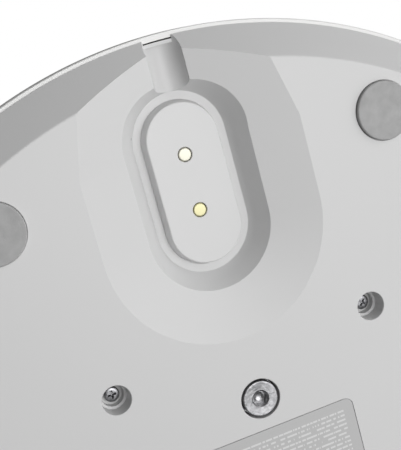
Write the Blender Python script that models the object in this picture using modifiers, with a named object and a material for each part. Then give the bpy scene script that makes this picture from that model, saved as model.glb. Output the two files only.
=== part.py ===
"""Round weighted pedestal base with a magnetic power inlet on its underside.

The base stands on the XY plane with +Z up. The oval pocket for the flat plug lies on the +Y side.
Run with:  blender --background --python part.py
"""
import math

import bmesh
import bpy
from mathutils import Vector

MM = 0.001
GAP = 0.3 * MM                     # clearance kept between neighbouring pieces

# Whole base
FOOT_PROUD = 1.5 * MM              # how far the feet stand below the underside
FLAT_Z = FOOT_PROUD                # height of the flat underside
FLAT_R = 156.9 * MM                # edge of the flat underside
FLANK_RISE = 12.2 * MM             # height of the 45 degree flank
FLANK_R = FLAT_R + FLANK_RISE * 0.99
WALL = 2.5 * MM
SPIGOT_R = 167.6 * MM              # rim of the lower cover that stands inside the shell
SPIGOT_TOP = 16.0 * MM             # above the flat
SHELL_R = 170.4 * MM
SHELL_WALL = 2.3 * MM
SHELL_EDGE_R = 7.0 * MM
SHELL_SIDE_TOP = 20.5 * MM         # where the side begins to round over
TURN_STEPS = 48

# Pocket for the plug
POCKET_Y = 117.6 * MM
POCKET_HALF_L = 15.6 * MM          # half of its straight length
POCKET_MOUTH_R = 22.5 * MM
POCKET_MOUTH_DEPTH = 4.8 * MM
POCKET_FLOOR_R = 17.0 * MM
POCKET_FLOOR_DEPTH = 13.6 * MM
APRON_R = 40.2 * MM                # the dished surface round the pocket
APRON_LOW_Y = 102.0 * MM
APRON_SIDE_Y = 131.0 * MM          # where its sides begin to draw in
APRON_TAPER = 0.25                 # sideways draw-in of the sides per length
APRON_SLOPE = 0.28                 # depth per distance in from its outline
APRON_RUN = 27.0 * MM              # how far in from the outline it slopes
APRON_END_Y = 176.0 * MM
CHANNEL_R = 6.4 * MM               # round channel for the cord
CHANNEL_X = -1.0 * MM
CHANNEL_START = (142.0 * MM, 6.5 * MM)   # place along Y and depth of its axis
CHANNEL_END = (174.0 * MM, 8.9 * MM)
CHANNEL_WALL = 2.0 * MM
CHANNEL_STOP_Y = 166.3 * MM        # above the flank the channel stops at the rim

# Contact block, the raised platform in the pocket
BLOCK_FACE_DEPTH = 9.5 * MM
BLOCK_FACE_R = 13.2 * MM
BLOCK_ROOT_R = 14.0 * MM
BLOCK_PLATE_R = 18.5 * MM
BLOCK_EAR = (49.0 * MM, 26.0 * MM)
BLOCK_SCREW_X = 21.2 * MM
BLOCK_SCREW_Y = 8.0 * MM
BLOCK_BOSS_R = 3.2 * MM
BLOCK_PILOT_R = 1.55 * MM
SEAL_R = 17.6 * MM
SEAL_T = 1.0 * MM
PLATE_T = 2.0 * MM
BOARD_T = 1.6 * MM
BOARD_R = 12.0 * MM
BOARD_SCREW_X = 8.5 * MM
CONTACT_X = 0.67 * MM
CONTACT_MID_Y = 118.2 * MM
CONTACT_PITCH = 20.1 * MM
CONTACT_R = 2.24 * MM
CONTACT_HOLE_R = 2.6 * MM
COLLAR_R = 3.0 * MM
COLLAR_T = 1.0 * MM
CONTACT_LEN = 2.9 * MM             # from the contact's face to its collar
PIN_R = 0.9 * MM
PIN_LEN = 13.6 * MM
SPRING_COIL_R = 1.8 * MM
SPRING_WIRE_R = 0.25 * MM
SPRING_TURNS = 4
SPRING_STEPS = 8                   # points on one turn
MAGNET_R = 4.0 * MM
MAGNET_T = 4.0 * MM
MAGNET_OFFSET = 22.0 * MM
MAGNET_SKIN = 1.6 * MM             # plastic between a magnet and the platform's face

# Feet, screws and bolts
FOOT_R = 10.5 * MM
FOOT_T = 2.3 * MM
FOOT_RING_R = 142.6 * MM
FOOT_COUNT = 6
WELL_RING_R = 74.8 * MM
WELL_ANGLES = (41, -41, 139, -139)
WELL_MOUTH_R = 5.2 * MM
WELL_END_R = 4.9 * MM
WELL_DEPTH = 9.4 * MM
WELL_TUBE_R = 7.5 * MM
WELL_FLOOR_T = 2.0 * MM
WELL_HOLE_R = 1.8 * MM
SHELL_BOSS_R = 4.0 * MM
SHELL_PILOT_DEPTH = 11.0 * MM
BOLT_RING_R = 38.3 * MM
BOLT_ANGLES = (0, 120, 240)
BOLT_HEAD_R = 6.5 * MM
BOLT_HEAD_H = 5.0 * MM
BOLT_SHANK_R = 4.0 * MM
BOLT_LEN = 13.0 * MM
BOLT_KEY = 5.0 * MM                # across the flats of the hexagon socket
BORE_R = 7.3 * MM
SLEEVE_R = 9.6 * MM
WASHER_R = 7.0 * MM
WASHER_T = 1.6 * MM

# Ballast, pole flange and the pieces round the pole
BALLAST_R = 150.0 * MM
BALLAST_T = 6.0 * MM
FLANGE_R = 48.0 * MM
FLANGE_T = 5.0 * MM
TUBE_R = 22.8 * MM
TUBE_BORE_R = 17.6 * MM
TUBE_TOP = 60.0 * MM
SHELL_HOLE_R = 26.5 * MM
COLLAR_RING_R = 31.0 * MM
COLLAR_RING_H = 3.6 * MM
SOCKET_R = 7.5 * MM                # body of the power connector in the pole socket
SOCKET_PIN_X = 3.2 * MM
WIRE_R = 0.9 * MM
WIRE_ANGLE = 25                    # direction of the wires' slot under the flange
WIRE_OFFSET = 1.5 * MM             # each wire's distance from the middle of the slot
CLIP_RING_R = 53.0 * MM
CLIP_SIZE = (12.0 * MM, 5.0 * MM, 4.2 * MM)
CLIP_TUNNEL = (6.6 * MM, 8.0 * MM, 6.0 * MM)
LABEL_SIZE = (66.0 * MM, 33.5 * MM)
LABEL_Y = 9.75 * MM
LABEL_T = 0.2 * MM
LABEL_CORNER_R = 3.0 * MM

# Heights that follow from the sizes above
RIM_Z = FLAT_Z + FLANK_RISE
POCKET_FLOOR_Z = FLAT_Z + POCKET_FLOOR_DEPTH
POCKET_TOP_Z = POCKET_FLOOR_Z + WALL
PLATE_Z = POCKET_TOP_Z + SEAL_T + 2 * GAP
BOARD_Z = PLATE_Z + PLATE_T + GAP
BOARD_TOP_Z = BOARD_Z + BOARD_T
FACE_Z = FLAT_Z + BLOCK_FACE_DEPTH
CAVITY_Z = FACE_Z + CONTACT_LEN - GAP
WASHER_Z = FLAT_Z + BOLT_HEAD_H + GAP
BALLAST_Z = WASHER_Z + WASHER_T + GAP
BALLAST_TOP_Z = BALLAST_Z + BALLAST_T
FLANGE_Z = BALLAST_TOP_Z + GAP
FLANGE_TOP_Z = FLANGE_Z + FLANGE_T
WELL_FLOOR_Z = FLAT_Z + WELL_DEPTH
BOSS_Z = WELL_FLOOR_Z + WELL_FLOOR_T + GAP
WIRE_Z = BALLAST_TOP_Z + 1.7 * MM

# Crown of the upper shell: distance from the axis and height of its outer face
CROWN = ((SHELL_HOLE_R, 34.9 * MM), (60 * MM, 34.1 * MM), (110 * MM, 31.9 * MM), (140 * MM, 29.6 * MM))


def empty_scene():
    """Removes the objects of the open file and makes the two collections."""
    for thing in list(bpy.data.objects):
        bpy.data.objects.remove(thing, do_unlink=True)
    made = []
    for name in ("pedestal_base", "cutters"):
        group = bpy.data.collections.get(name) or bpy.data.collections.new(name)
        if name not in bpy.context.scene.collection.children:
            bpy.context.scene.collection.children.link(group)
        made.append(group)
    return made


PARTS, CUTTERS = empty_scene()


def finish(name, colour, roughness, metallic=0.0):
    """A plain Principled material for one piece."""
    mat = bpy.data.materials.new(name)
    mat.use_nodes = True
    shader = mat.node_tree.nodes["Principled BSDF"]
    shader.inputs["Base Color"].default_value = (*colour, 1.0)
    shader.inputs["Roughness"].default_value = roughness
    shader.inputs["Metallic"].default_value = metallic
    return mat


def place(name, mesh, look=None, at=(0, 0, 0)):
    """Puts a mesh in the scene as a piece, or as a cutter when it has no look."""
    thing = bpy.data.objects.new(name, mesh)
    thing.location = at
    if look is None:
        CUTTERS.objects.link(thing)
        thing.hide_render = True
        thing.display_type = "WIRE"
    else:
        PARTS.objects.link(thing)
        mesh.materials.append(finish(name, *look))
    return thing


def mesh_from(bm, name, smooth=True):
    mesh = bpy.data.meshes.new(name)
    bmesh.ops.recalc_face_normals(bm, faces=bm.faces)
    bm.to_mesh(mesh)
    bm.free()
    if smooth:
        mesh.shade_smooth()
        mesh.set_sharp_from_angle(angle=math.radians(30))
    return mesh


def cylinder(name, radius, low, high, look=None, at=(0, 0), top_radius=None, sides=20):
    """An upright round solid; top_radius makes it a cone."""
    bm = bmesh.new()
    top = radius if top_radius is None else top_radius
    bmesh.ops.create_cone(bm, cap_ends=True, segments=sides, radius1=radius, radius2=top,
                          depth=high - low)
    bmesh.ops.translate(bm, verts=bm.verts, vec=(0, 0, (high + low) / 2))
    return place(name, mesh_from(bm, name), look, (at[0], at[1], 0))


def block(name, size, centre, look=None, turn=0):
    """A box about its centre, turned by an angle in degrees from +Y towards +X."""
    bm = bmesh.new()
    bmesh.ops.create_cube(bm, size=1.0)
    bmesh.ops.scale(bm, verts=bm.verts, vec=size)
    thing = place(name, mesh_from(bm, name, smooth=False), look, centre)
    thing.rotation_euler.z = -math.radians(turn)
    return thing


def turned(name, profile, look=None, steps=TURN_STEPS):
    """Turns a closed outline of (radius, height) about Z. It runs down its outer side."""
    mesh = bpy.data.meshes.new(name)
    count = len(profile)
    on_axis = profile[0][0] == 0 and profile[-1][0] == 0
    edges = [(i, i + 1) for i in range(count - 1)]
    if not on_axis:
        edges.append((count - 1, 0))
    mesh.from_pydata([(r, 0, z) for r, z in profile], edges, [])
    thing = place(name, mesh, look)
    screw = thing.modifiers.new("turn", "SCREW")
    screw.steps = steps
    screw.render_steps = steps
    screw.use_merge_vertices = True
    screw.merge_threshold = 0.00001
    return thing


def loft(name, sections, look=None):
    """Joins outlines with the same number of points, each a list of (x, y, z), and closes both ends."""
    bm = bmesh.new()
    rings = [[bm.verts.new(point) for point in section] for section in sections]
    count = len(rings[0])
    for lower, upper in zip(rings, rings[1:]):
        for i in range(count):
            j = (i + 1) % count
            bm.faces.new((lower[i], lower[j], upper[j], upper[i]))
    bm.faces.new(list(reversed(rings[0])))
    bm.faces.new(rings[-1])
    return place(name, mesh_from(bm, name), look)


def oval(half_length, radius, z, y=POCKET_Y, steps=10):
    """A stadium outline along Y: two half circles joined by straight sides."""
    points = []
    for end in (1, -1):
        for i in range(steps + 1):
            turn = math.pi * i / steps
            points.append((end * radius * math.cos(turn),
                           y + end * (half_length + radius * math.sin(turn)), z))
    return points


def apron_outline(inset, z, steps=12):
    """Outline of the dished surface, moved in by inset; its sides draw in past the pocket."""
    radius = APRON_R - inset
    lean = math.atan(APRON_TAPER)
    side = APRON_R - inset / math.cos(lean)
    end = side - APRON_TAPER * (APRON_END_Y - APRON_SIDE_Y)
    points = [(-end, APRON_END_Y, z), (-side, APRON_SIDE_Y, z)]
    for i in range(steps + 1):
        turn = math.pi * i / steps
        points.append((-radius * math.cos(turn), APRON_LOW_Y - radius * math.sin(turn), z))
    return points + [(side, APRON_SIDE_Y, z), (end, APRON_END_Y, z)]


def apron(name, grow, lift):
    """The dished surface as a solid that reaches down past the underside; grow and lift thicken it."""
    below = 3 * MM
    return loft(name, [
        apron_outline(-grow, FLAT_Z - below + lift),
        apron_outline(-grow, FLAT_Z + lift),
        apron_outline(APRON_RUN - grow, FLAT_Z + APRON_RUN * APRON_SLOPE + lift),
    ])


def channel(name, radius):
    """The round channel for the cord, a tilted cylinder from the pocket to the rim."""
    start = Vector((CHANNEL_X, CHANNEL_START[0], FLAT_Z + CHANNEL_START[1]))
    end = Vector((CHANNEL_X, CHANNEL_END[0], FLAT_Z + CHANNEL_END[1]))
    length = (end - start).length
    bm = bmesh.new()
    bmesh.ops.create_cone(bm, cap_ends=True, segments=32, radius1=radius, radius2=radius, depth=length)
    thing = place(name, mesh_from(bm, name))
    thing.rotation_euler = (end - start).to_track_quat("Z", "Y").to_euler()
    thing.location = (start + end) / 2
    return thing


def combine(thing, other, how="DIFFERENCE"):
    """Cuts, joins or intersects with another closed solid."""
    step = thing.modifiers.new(other.name, "BOOLEAN")
    step.operation = how
    step.solver = "EXACT"
    step.object = other
    return thing


def on_ring(radius, degrees):
    """A point on a ring round the axis; zero degrees is +Y and angles turn towards +X."""
    turn = math.radians(degrees)
    return radius * math.sin(turn), radius * math.cos(turn)


def rounded_rectangle(name, size, y, low, high, look=None, radius=LABEL_CORNER_R):
    points = []
    for sx, sy, start in ((1, 1, 0), (-1, 1, 90), (-1, -1, 180), (1, -1, 270)):
        for i in range(5):
            turn = math.radians(start + 22.5 * i)
            points.append((sx * (size[0] / 2 - radius) + radius * math.cos(turn),
                           y + sy * (size[1] / 2 - radius) + radius * math.sin(turn)))
    return loft(name, [[(px, py, z) for px, py in points] for z in (low, high)], look)


# Casing -----------------------------------------------------------------------------------------

WHITE = ((0.68, 0.68, 0.68), 0.45)
WELLS = [on_ring(WELL_RING_R, angle) for angle in WELL_ANGLES]
BOLTS = [on_ring(BOLT_RING_R, angle) for angle in BOLT_ANGLES]
FEET = [on_ring(FOOT_RING_R, 30 + 60 * i) for i in range(FOOT_COUNT)]
BLOCK_SCREWS = [(sx * BLOCK_SCREW_X, POCKET_Y + sy * BLOCK_SCREW_Y) for sx in (1, -1) for sy in (1, -1)]


def pocket_walls():
    """Outer form of the pocket, the dished surface and the channel, trimmed to fit inside the rim."""
    walls = apron("apron_outside", WALL * 0.8, WALL)
    combine(walls, loft("pocket_outside", [
        oval(POCKET_HALF_L, POCKET_MOUTH_R + WALL, FLAT_Z + POCKET_MOUTH_DEPTH),
        oval(POCKET_HALF_L, POCKET_FLOOR_R + WALL, POCKET_TOP_Z),
    ]), "UNION")
    combine(walls, channel("channel_outside", CHANNEL_R + CHANNEL_WALL), "UNION")
    for i, at in enumerate(BLOCK_SCREWS):
        boss = cylinder(f"block_boss_{i}", BLOCK_BOSS_R, FLAT_Z + 6 * MM, PLATE_Z - GAP, at=at)
        combine(walls, boss, "UNION")
    envelope = turned("rim_envelope", [
        (0, FLAT_Z + 20 * MM), (SPIGOT_R - 0.05 * MM, FLAT_Z + 20 * MM),
        (SPIGOT_R - 0.05 * MM, RIM_Z - 1.4 * MM), (FLAT_R + 0.4 * MM, FLAT_Z + 0.5 * MM),
        (0, FLAT_Z + 0.5 * MM)])
    return combine(walls, envelope, "INTERSECT")


def lower_cover():
    """The moulded cover that closes the underside, with every recess and boss in it."""
    inner_r = FLANK_R - WALL * math.sqrt(2) - 0.3 * MM
    cover = turned("lower_cover", [
        (0, FLAT_Z + WALL), (FLAT_R - WALL * 0.6, FLAT_Z + WALL), (inner_r, RIM_Z),
        (inner_r, FLAT_Z + SPIGOT_TOP), (SPIGOT_R, FLAT_Z + SPIGOT_TOP), (SPIGOT_R, RIM_Z),
        (FLANK_R, RIM_Z), (FLAT_R, FLAT_Z), (0, FLAT_Z)], WHITE)
    overlap = FLAT_Z + 1 * MM
    for i, at in enumerate(WELLS):
        tube = cylinder(f"well_tube_{i}", WELL_TUBE_R, overlap, WELL_FLOOR_Z + WELL_FLOOR_T, at=at)
        combine(cover, tube, "UNION")
    for i, at in enumerate(BOLTS):
        sleeve = cylinder(f"sleeve_{i}", SLEEVE_R, overlap, WASHER_Z + WASHER_T, at=at)
        combine(cover, sleeve, "UNION")
    combine(cover, pocket_walls(), "UNION")
    combine(cover, apron("apron_inside", 0, 0))
    below_z = FLAT_Z + 2 * POCKET_MOUTH_DEPTH - POCKET_FLOOR_DEPTH
    combine(cover, loft("pocket_inside", [
        oval(POCKET_HALF_L, POCKET_MOUTH_R * 2 - POCKET_FLOOR_R, below_z),
        oval(POCKET_HALF_L, POCKET_FLOOR_R, POCKET_FLOOR_Z)]))
    passage = channel("channel_inside", CHANNEL_R)
    reach = 20 * MM
    combine(passage, block("rim_kept", (reach, reach, reach),
                           (CHANNEL_X, CHANNEL_STOP_Y + reach / 2, RIM_Z + reach / 2)))
    combine(cover, passage)
    combine(cover, loft("block_opening", [
        oval(POCKET_HALF_L, BLOCK_ROOT_R + GAP, z) for z in (FLAT_Z, POCKET_TOP_Z + WALL)]))
    for i, at in enumerate(BLOCK_SCREWS):
        combine(cover, cylinder(f"pilot_{i}", BLOCK_PILOT_R, FLAT_Z + 11 * MM, PLATE_Z, at=at, sides=12))
    for i, at in enumerate(WELLS):
        combine(cover, cylinder(f"well_{i}", WELL_MOUTH_R, FLAT_Z - WALL, WELL_FLOOR_Z, at=at,
                                top_radius=WELL_END_R))
        combine(cover, cylinder(f"well_hole_{i}", WELL_HOLE_R, FLAT_Z, BOSS_Z, at=at, sides=12))
    for i, at in enumerate(BOLTS):
        combine(cover, cylinder(f"bolt_bore_{i}", BORE_R, 0, BALLAST_Z, at=at))
    for i, at in enumerate(FEET):
        combine(cover, cylinder(f"foot_seat_{i}", FOOT_R + GAP, 0, FOOT_T + GAP, at=at))
    return combine(cover, rounded_rectangle(
        "label_seat", [side + 2 * GAP for side in LABEL_SIZE], LABEL_Y, 0, FLAT_Z + LABEL_T + GAP))


def shell_profile():
    """Outline of the upper shell, down its outer side and back up inside."""
    corner = SHELL_R - SHELL_EDGE_R
    crown_end = (corner - 4 * MM, SHELL_SIDE_TOP + SHELL_EDGE_R * 0.98)
    turns = [math.radians(degrees) for degrees in (60, 30, 0)]
    edge = [(corner + SHELL_EDGE_R * math.cos(turn), SHELL_SIDE_TOP + SHELL_EDGE_R * math.sin(turn))
            for turn in turns]
    foot_z = RIM_Z + GAP
    outside = [*CROWN, crown_end, *edge, (SHELL_R, foot_z)]
    inner_r = SHELL_R - SHELL_WALL
    inside = [(inner_r, foot_z), (inner_r, SHELL_SIDE_TOP),
              (corner - 1 * MM, SHELL_SIDE_TOP + SHELL_EDGE_R - SHELL_WALL)]
    return outside + inside + [(r, z - SHELL_WALL) for r, z in reversed(CROWN)]


def upper_shell():
    shell = turned("upper_shell", shell_profile(), ((0.72, 0.72, 0.72), 0.4))
    for i, at in enumerate(WELLS):
        boss = cylinder(f"shell_boss_{i}", SHELL_BOSS_R, BOSS_Z, CROWN[1][1] - 1 * MM, at=at, sides=12)
        combine(shell, boss, "UNION")
        combine(shell, cylinder(f"shell_pilot_{i}", WELL_HOLE_R, BOSS_Z - GAP, BOSS_Z + SHELL_PILOT_DEPTH,
                                at=at, sides=12))
    return shell


def ballast_plate():
    """Steel disc that weighs the base down, cut away round the pocket."""
    plate = turned("ballast_plate", [(0, BALLAST_TOP_Z), (BALLAST_R, BALLAST_TOP_Z), (BALLAST_R, BALLAST_Z),
                                     (0, BALLAST_Z)], ((0.32, 0.32, 0.33), 0.5, 1.0))
    notch = APRON_R + WALL + 3 * MM
    combine(plate, loft("pocket_notch", [
        oval(45 * MM, notch, z, y=APRON_LOW_Y + 45 * MM) for z in (0, FLANGE_TOP_Z)]))
    for i, at in enumerate(WELLS):
        combine(plate, cylinder(f"plate_well_{i}", WELL_TUBE_R + 3 * GAP, 0, FLANGE_TOP_Z, at=at))
    for i, at in enumerate(BOLTS):
        combine(plate, cylinder(f"plate_bolt_{i}", BOLT_SHANK_R + 2 * GAP, 0, FLANGE_TOP_Z, at=at))
    return plate


# Pole mounting ----------------------------------------------------------------------------------

def pole_flange():
    """Flange and socket tube for the pole, held to the ballast by the three bolts."""
    hole_r = SOCKET_R + GAP
    flange = turned("pole_flange", [
        (TUBE_BORE_R, TUBE_TOP), (TUBE_R, TUBE_TOP), (TUBE_R, FLANGE_TOP_Z), (FLANGE_R, FLANGE_TOP_Z),
        (FLANGE_R, FLANGE_Z), (hole_r, FLANGE_Z), (hole_r, FLANGE_TOP_Z), (TUBE_BORE_R, FLANGE_TOP_Z)],
        ((0.5, 0.5, 0.52), 0.4, 1.0), steps=32)
    for i, at in enumerate(BOLTS):
        combine(flange, cylinder(f"flange_bolt_{i}", BOLT_SHANK_R + GAP, 0, TUBE_TOP, at=at))
    slot_top = FLANGE_Z + 3 * MM
    middle = on_ring((FLANGE_R + 10 * MM) / 2, WIRE_ANGLE)
    return combine(flange, block("wire_slot", (6.4 * MM, FLANGE_R + 10 * MM, slot_top),
                                 (*middle, slot_top / 2), turn=WIRE_ANGLE))


def trim_collar():
    """Snap-in ring that closes the gap between the shell and the pole socket."""
    seat_z = CROWN[0][1] + GAP
    neck_r = SHELL_HOLE_R - 2 * GAP
    bore = TUBE_R + 2 * GAP
    return turned("trim_collar", [
        (bore, seat_z + COLLAR_RING_H), (COLLAR_RING_R - 1.6 * MM, seat_z + COLLAR_RING_H),
        (COLLAR_RING_R, seat_z + COLLAR_RING_H - 1.6 * MM), (COLLAR_RING_R, seat_z), (neck_r, seat_z),
        (neck_r, seat_z - 5 * MM), (bore, seat_z - 5 * MM)], ((0.6, 0.6, 0.6), 0.35), steps=32)


def pole_connector():
    """Two-pole socket at the bottom of the pole's tube; its pins are a node of their own."""
    low = FLANGE_Z + GAP
    rest = FLANGE_TOP_Z + GAP
    body = turned("pole_connector", [
        (0, rest + 10 * MM), (SOCKET_R, rest + 10 * MM), (SOCKET_R, rest + 2 * MM),
        (SOCKET_R + 4 * MM, rest + 2 * MM), (SOCKET_R + 4 * MM, rest), (SOCKET_R - GAP, rest),
        (SOCKET_R - GAP, low), (0, low)], ((0.05, 0.05, 0.05), 0.5), steps=20)
    pin_r = 1.0 * MM
    foot_z = rest + 3 * MM
    for side, x in (("left", -SOCKET_PIN_X), ("right", SOCKET_PIN_X)):
        combine(body, cylinder(f"pin_hole_{side}", pin_r + GAP, foot_z, rest + 12 * MM, at=(x, 0), sides=12))
        cylinder(f"power_pin_{side}", pin_r, foot_z + GAP, rest + 15 * MM, ((0.8, 0.6, 0.3), 0.3, 1.0),
                 at=(x, 0), sides=12)
    return body


def hexagon(radius_flats, low, high, at):
    return cylinder("hex_key", radius_flats / math.cos(math.pi / 6), low, high, at=at, sides=6)


def bolts():
    steel = ((0.45, 0.45, 0.46), 0.35, 1.0)
    for i, at in enumerate(BOLTS, start=1):
        head = turned(f"pole_bolt_{i}", [
            (0, FLAT_Z + BOLT_HEAD_H + BOLT_LEN), (BOLT_SHANK_R, FLAT_Z + BOLT_HEAD_H + BOLT_LEN),
            (BOLT_SHANK_R, FLAT_Z + BOLT_HEAD_H), (BOLT_HEAD_R, FLAT_Z + BOLT_HEAD_H),
            (BOLT_HEAD_R, FLAT_Z + 0.4 * MM), (BOLT_HEAD_R - 0.4 * MM, FLAT_Z), (0, FLAT_Z)],
            steel, steps=20)
        head.location = (*at, 0)
        combine(head, hexagon(BOLT_KEY / 2, 0, FLAT_Z + 2.7 * MM, at))
        washer = turned(f"bolt_washer_{i}", [
            (BOLT_SHANK_R + GAP, WASHER_Z + WASHER_T - GAP), (WASHER_R, WASHER_Z + WASHER_T - GAP),
            (WASHER_R, WASHER_Z), (BOLT_SHANK_R + GAP, WASHER_Z)], steel, steps=20)
        washer.location = (*at, 0)


def cross_head_screw(name, at, head_z, length, head_r, shank_r, up=1):
    """A cross-recess screw along Z; up is +1 where its point is up. head_z is the outer face of its head."""
    head_h = head_r * 0.72
    stem = [(0, length), (shank_r, length), (shank_r, head_h), (head_r, head_h), (head_r, head_h * 0.45),
            (head_r * 0.7, 0), (0, 0)]
    if up < 0:
        stem = [(r, -z) for r, z in reversed(stem)]
    screw = turned(name, stem, ((0.4, 0.4, 0.42), 0.35, 1.0), steps=12)
    for i, size in enumerate(((head_r * 1.1, head_r * 0.25, head_h), (head_r * 0.25, head_r * 1.1, head_h))):
        combine(screw, block(f"{name}_slot_{i}", size, (at[0], at[1], head_z)))
    screw.location = (*at, head_z)
    return screw


def feet():
    for i, at in enumerate(FEET, start=1):
        cylinder(f"foot_{i}", FOOT_R, 0, FOOT_T, ((0.42, 0.42, 0.42), 0.8), at=at)


# Power inlet ------------------------------------------------------------------------------------

CONTACTS = {"outer": (CONTACT_X, CONTACT_MID_Y + CONTACT_PITCH / 2),
            "inner": (CONTACT_X, CONTACT_MID_Y - CONTACT_PITCH / 2)}
MAGNETS = [(0, POCKET_Y + sign * MAGNET_OFFSET) for sign in (1, -1)]
BOARD_SCREWS = [(sign * BOARD_SCREW_X, POCKET_Y) for sign in (1, -1)]


def contact_block():
    """The raised platform with the plate behind it that screws to the pocket's bosses."""
    body = loft("contact_block", [
        oval(POCKET_HALF_L, BLOCK_FACE_R, FACE_Z),
        oval(POCKET_HALF_L, BLOCK_ROOT_R, POCKET_FLOOR_Z),
        oval(POCKET_HALF_L, BLOCK_ROOT_R, PLATE_Z + 0.5 * PLATE_T)], ((0.68, 0.68, 0.68), 0.4))
    combine(body, loft("block_plate", [
        oval(POCKET_HALF_L, BLOCK_PLATE_R, z) for z in (PLATE_Z, PLATE_Z + PLATE_T)]), "UNION")
    combine(body, block("block_ears", (*BLOCK_EAR, PLATE_T), (0, POCKET_Y, PLATE_Z + PLATE_T / 2)), "UNION")
    for name, at in CONTACTS.items():
        combine(body, cylinder(f"{name}_hole", CONTACT_HOLE_R, 0, BOARD_TOP_Z, at=at))
        combine(body, cylinder(f"{name}_cavity", COLLAR_R + 2 * GAP, CAVITY_Z, BOARD_TOP_Z, at=at))
    for i, at in enumerate(MAGNETS):
        combine(body, cylinder(f"magnet_hole_{i}", MAGNET_R + GAP, FACE_Z + MAGNET_SKIN, BOARD_TOP_Z, at=at))
    for i, at in enumerate(BLOCK_SCREWS):
        combine(body, cylinder(f"ear_hole_{i}", BLOCK_PILOT_R, FLAT_Z, BOARD_TOP_Z, at=at, sides=12))
    for i, at in enumerate(BOARD_SCREWS):
        combine(body, cylinder(f"board_pilot_{i}", 1.3 * MM, BOARD_Z - 6 * MM, BOARD_TOP_Z, at=at, sides=12))
    return body


def block_seal():
    """Foam ring between the contact block's plate and the pocket's floor."""
    low = POCKET_TOP_Z + GAP
    ring = loft("contact_block_seal", [oval(POCKET_HALF_L, SEAL_R, z) for z in (low, low + SEAL_T - GAP)],
                ((0.03, 0.03, 0.03), 0.9))
    opening = loft("seal_opening", [oval(POCKET_HALF_L, BLOCK_ROOT_R + 2 * GAP, z) for z in (0, PLATE_Z)])
    return combine(ring, opening)


def contact_board():
    """Circuit board that closes the contact block and backs the two springs."""
    board = loft("contact_board", [oval(POCKET_HALF_L, BOARD_R, z) for z in (BOARD_Z, BOARD_TOP_Z)],
                 ((0.03, 0.2, 0.08), 0.4))
    for name, at in CONTACTS.items():
        combine(board, cylinder(f"board_hole_{name}", PIN_R + GAP, 0, TUBE_TOP, at=at, sides=12))
    for i, at in enumerate(BOARD_SCREWS):
        combine(board, cylinder(f"board_screw_hole_{i}", 1.5 * MM, 0, TUBE_TOP, at=at, sides=12))
    return board


def contact_pin(name, at):
    """A sprung contact: flat disc, collar and guide pin. Its origin is on the axis that it slides along."""
    collar_z = CONTACT_LEN + COLLAR_T
    pin = turned(f"contact_pin_{name}", [
        (0, PIN_LEN), (PIN_R, PIN_LEN), (PIN_R, collar_z), (COLLAR_R, collar_z), (COLLAR_R, CONTACT_LEN),
        (CONTACT_R, CONTACT_LEN), (CONTACT_R, 0.25 * MM), (CONTACT_R - 0.25 * MM, 0), (0, 0)],
        ((0.85, 0.65, 0.3), 0.25, 1.0), steps=16)
    pin.location = (*at, FACE_Z)
    return pin


def spring(name, at):
    """Compression spring between the pin's collar and the board."""
    low = FACE_Z + CONTACT_LEN + COLLAR_T + GAP + SPRING_WIRE_R
    high = BOARD_Z - GAP - SPRING_WIRE_R
    curve = bpy.data.curves.new(f"contact_spring_{name}", "CURVE")
    curve.dimensions = "3D"
    curve.bevel_depth = SPRING_WIRE_R
    curve.bevel_resolution = 1
    curve.use_fill_caps = True
    line = curve.splines.new("POLY")
    count = SPRING_TURNS * SPRING_STEPS
    line.points.add(count)
    for i, point in enumerate(line.points):
        turn = 2 * math.pi * i / SPRING_STEPS
        point.co = (at[0] + SPRING_COIL_R * math.cos(turn), at[1] + SPRING_COIL_R * math.sin(turn),
                    low + (high - low) * i / count, 1)
    thing = bpy.data.objects.new(f"contact_spring_{name}", curve)
    curve.materials.append(finish(f"contact_spring_{name}", (0.6, 0.6, 0.6), 0.3, 1.0))
    PARTS.objects.link(thing)


def smooth_route(points, per_span=4):
    """Points of a smooth curve through the given ones."""
    padded = [2 * points[0] - points[1], *points, 2 * points[-1] - points[-2]]
    route = []
    for a, b, c, d in zip(padded, padded[1:], padded[2:], padded[3:]):
        for i in range(per_span):
            t = i / per_span
            route.append(0.5 * (2 * b + (c - a) * t + (2 * a - 5 * b + 4 * c - d) * t * t
                                + (3 * b - a - 3 * c + d) * t * t * t))
    return route + [points[-1]]


def supply_wire(name, side):
    """Insulated wire from the board over the pocket's end, through the flange's slot to the connector."""
    solder_z = BOARD_TOP_Z + WIRE_R + GAP
    ends = [Vector((side * x * MM + shift * MM, y * MM, z)) for x, shift, y, z in (
        (3.0, 0, 104, solder_z), (3.0, 0, 97, solder_z), (2.6, 1, 90, solder_z),
        (2.2, 5, 84, solder_z - 0.5 * MM), (1.9, 12, 76, solder_z - 3.5 * MM),
        (1.6, 21, 66, WIRE_Z + 0.3 * MM))]
    along = on_ring(1, WIRE_ANGLE)
    for radius in (CLIP_RING_R + 5 * MM, CLIP_RING_R - 4 * MM, 36 * MM, 22 * MM, SOCKET_R + GAP):
        ends.append(Vector((radius * along[0] + side * WIRE_OFFSET * along[1],
                            radius * along[1] - side * WIRE_OFFSET * along[0], WIRE_Z)))
    route = smooth_route(ends)
    curve = bpy.data.curves.new(name, "CURVE")
    curve.dimensions = "3D"
    curve.bevel_depth = WIRE_R
    curve.bevel_resolution = 2
    curve.use_fill_caps = True
    line = curve.splines.new("POLY")
    line.points.add(len(route) - 1)
    for point, where in zip(line.points, route):
        point.co = (*where, 1)
    colour = (0.5, 0.02, 0.02) if side > 0 else (0.02, 0.02, 0.02)
    curve.materials.append(finish(name, colour, 0.5))
    PARTS.objects.link(bpy.data.objects.new(name, curve))


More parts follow.
